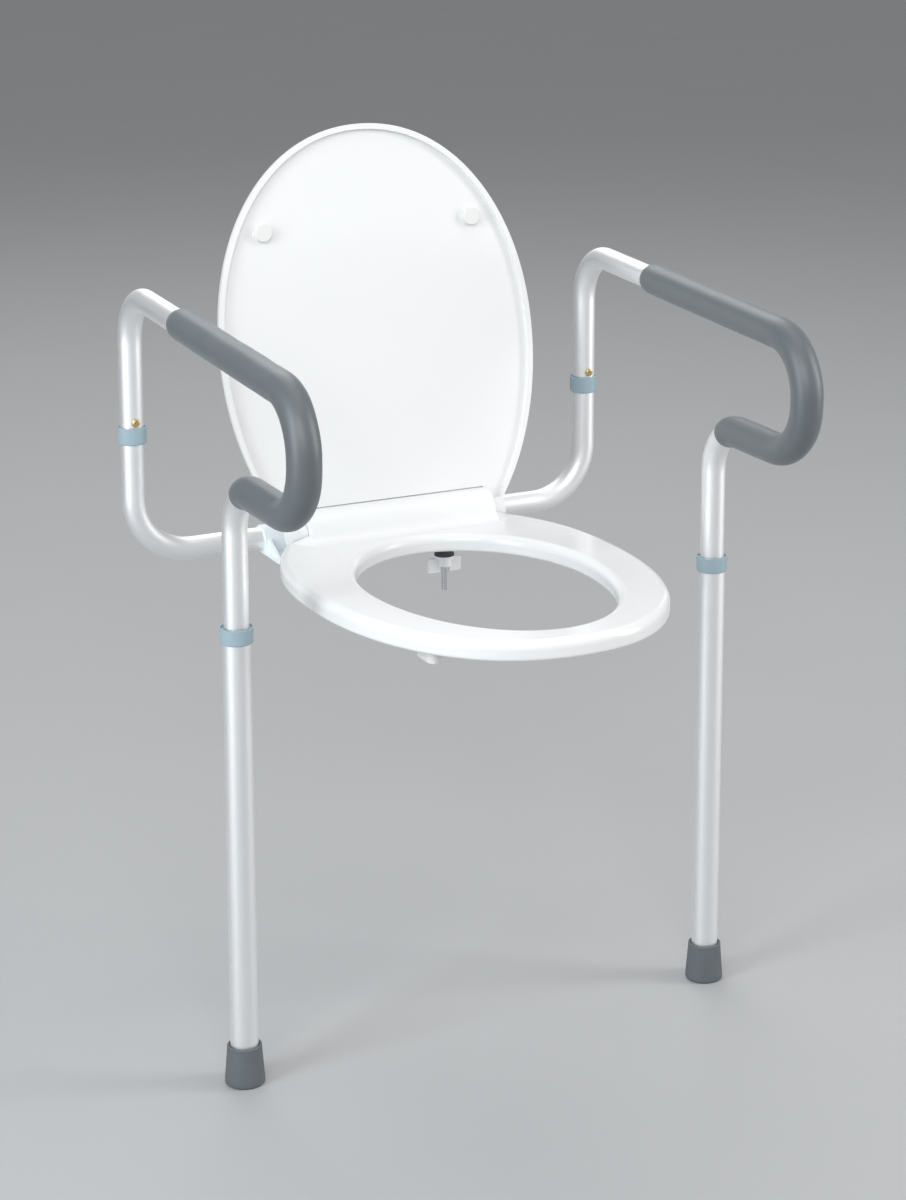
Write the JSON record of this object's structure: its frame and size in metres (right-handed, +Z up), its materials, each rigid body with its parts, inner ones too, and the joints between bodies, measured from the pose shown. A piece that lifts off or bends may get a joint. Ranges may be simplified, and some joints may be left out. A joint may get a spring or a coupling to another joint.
{
  "type": "toilet support frame with seat and lid",
  "caption": "Toilet support frame: two tubular arms with foam grips and telescopic front legs, plugged into a bracket clamped under a hinged seat and lid.",
  "frame": {"origin": "midway between the two seat bolts, on the bracket's underside where it rests on the bowl's rim", "axes": "+Z up, +Y towards the wall behind the bowl, +X to the right when facing the bowl"},
  "size_m": [0.574, 0.532, 0.9121],
  "materials": {
    "aluminium_tube": "satin anodised, drawn along the tube",
    "grip_foam": "closed-cell foam, matte with a soft sheen",
    "collar_plastic": "semi-matte moulded",
    "foot_rubber": "matte moulded rubber",
    "seat_plastic": "gloss white thermoset",
    "buffer_rubber": "soft white",
    "bracket_plastic": "satin white moulded",
    "hinge_plastic": "white moulded",
    "steel": "turned stainless",
    "spring_steel": "blued spring strip",
    "button_brass": "yellow-passivated, satin",
    "cone_rubber": "black rubber"
  },
  "bodies": {
    "root": {"mounting_bracket": "bracket_plastic", "clamp_screw_left": "steel", "hinge_post_left": "hinge_plastic", "hinge_pin_left": "steel", "hinge_bolt_left": "steel", "bolt_cap_left": "hinge_plastic", "cone_washer_left": "cone_rubber", "wing_nut_left": "hinge_plastic", "clamp_screw_right": "steel", "hinge_post_right": "hinge_plastic", "hinge_pin_right": "steel", "hinge_bolt_right": "steel", "bolt_cap_right": "hinge_plastic", "cone_washer_right": "cone_rubber", "wing_nut_right": "hinge_plastic"},
    "seat": {"seat_ring": "seat_plastic", "seat_buffers": "buffer_rubber"},
    "lid": {"lid": "seat_plastic", "lid_buffers": "buffer_rubber"},
    "arm_left": {"rear_tube_left": "aluminium_tube", "rear_collar_left": "collar_plastic", "handle_tube_left": "aluminium_tube", "foam_grip_left": "grip_foam", "rear_spring_left": "spring_steel", "leg_spring_left": "spring_steel"},
    "leg_left": {"leg_tube_left": "aluminium_tube", "leg_collar_left": "collar_plastic", "foot_left": "foot_rubber", "foot_washer_left": "steel"},
    "rear_button_left": {"rear_button_left": "button_brass"},
    "leg_button_left": {"leg_button_left": "button_brass"},
    "arm_right": {"rear_tube_right": "aluminium_tube", "rear_collar_right": "collar_plastic", "handle_tube_right": "aluminium_tube", "foam_grip_right": "grip_foam", "rear_spring_right": "spring_steel", "leg_spring_right": "spring_steel"},
    "leg_right": {"leg_tube_right": "aluminium_tube", "leg_collar_right": "collar_plastic", "foot_right": "foot_rubber", "foot_washer_right": "steel"},
    "rear_button_right": {"rear_button_right": "button_brass"},
    "leg_button_right": {"leg_button_right": "button_brass"}
  },
  "joints": [
    {"name": "lid_hinge", "type": "hinge", "parent": "root", "child": "lid", "pos_m": [0, -0.044, 0.037], "axis": [-1, 0, 0], "range_deg": [-102, 0]},
    {"name": "seat_hinge", "type": "hinge", "parent": "root", "child": "seat", "pos_m": [0, -0.044, 0.037], "axis": [-1, 0, 0], "range_deg": [0, 98]},
    {"name": "arm_left_slide", "type": "slide", "parent": "root", "child": "arm_left", "axis": [-1, 0, 0], "range_m": [-0.01, 0.02]},
    {"name": "leg_left_slide", "type": "slide", "parent": "arm_left", "child": "leg_left", "axis": [0, 0, -1], "range_m": [-0.05, 0.1]},
    {"name": "rear_button_left_press", "type": "slide", "parent": "arm_left", "child": "rear_button_left", "axis": [0, 1, 0], "range_m": [0, 0.005], "stiffness_N_per_m": 600, "springref_m": -0.003, "deforming": ["rear_spring_left"]},
    {"name": "leg_button_left_press", "type": "slide", "parent": "arm_left", "child": "leg_button_left", "axis": [0, -1, 0], "range_m": [0, 0.005], "stiffness_N_per_m": 600, "springref_m": -0.003, "deforming": ["leg_spring_left"]},
    {"name": "arm_right_slide", "type": "slide", "parent": "root", "child": "arm_right", "axis": [1, 0, 0], "range_m": [-0.01, 0.02]},
    {"name": "leg_right_slide", "type": "slide", "parent": "arm_right", "child": "leg_right", "axis": [0, 0, -1], "range_m": [-0.05, 0.1]},
    {"name": "rear_button_right_press", "type": "slide", "parent": "arm_right", "child": "rear_button_right", "axis": [0, 1, 0], "range_m": [0, 0.005], "stiffness_N_per_m": 600, "springref_m": -0.003, "deforming": ["rear_spring_right"]},
    {"name": "leg_button_right_press", "type": "slide", "parent": "arm_right", "child": "leg_button_right", "axis": [0, -1, 0], "range_m": [0, 0.005], "stiffness_N_per_m": 600, "springref_m": -0.003, "deforming": ["leg_spring_right"]}
  ]
}
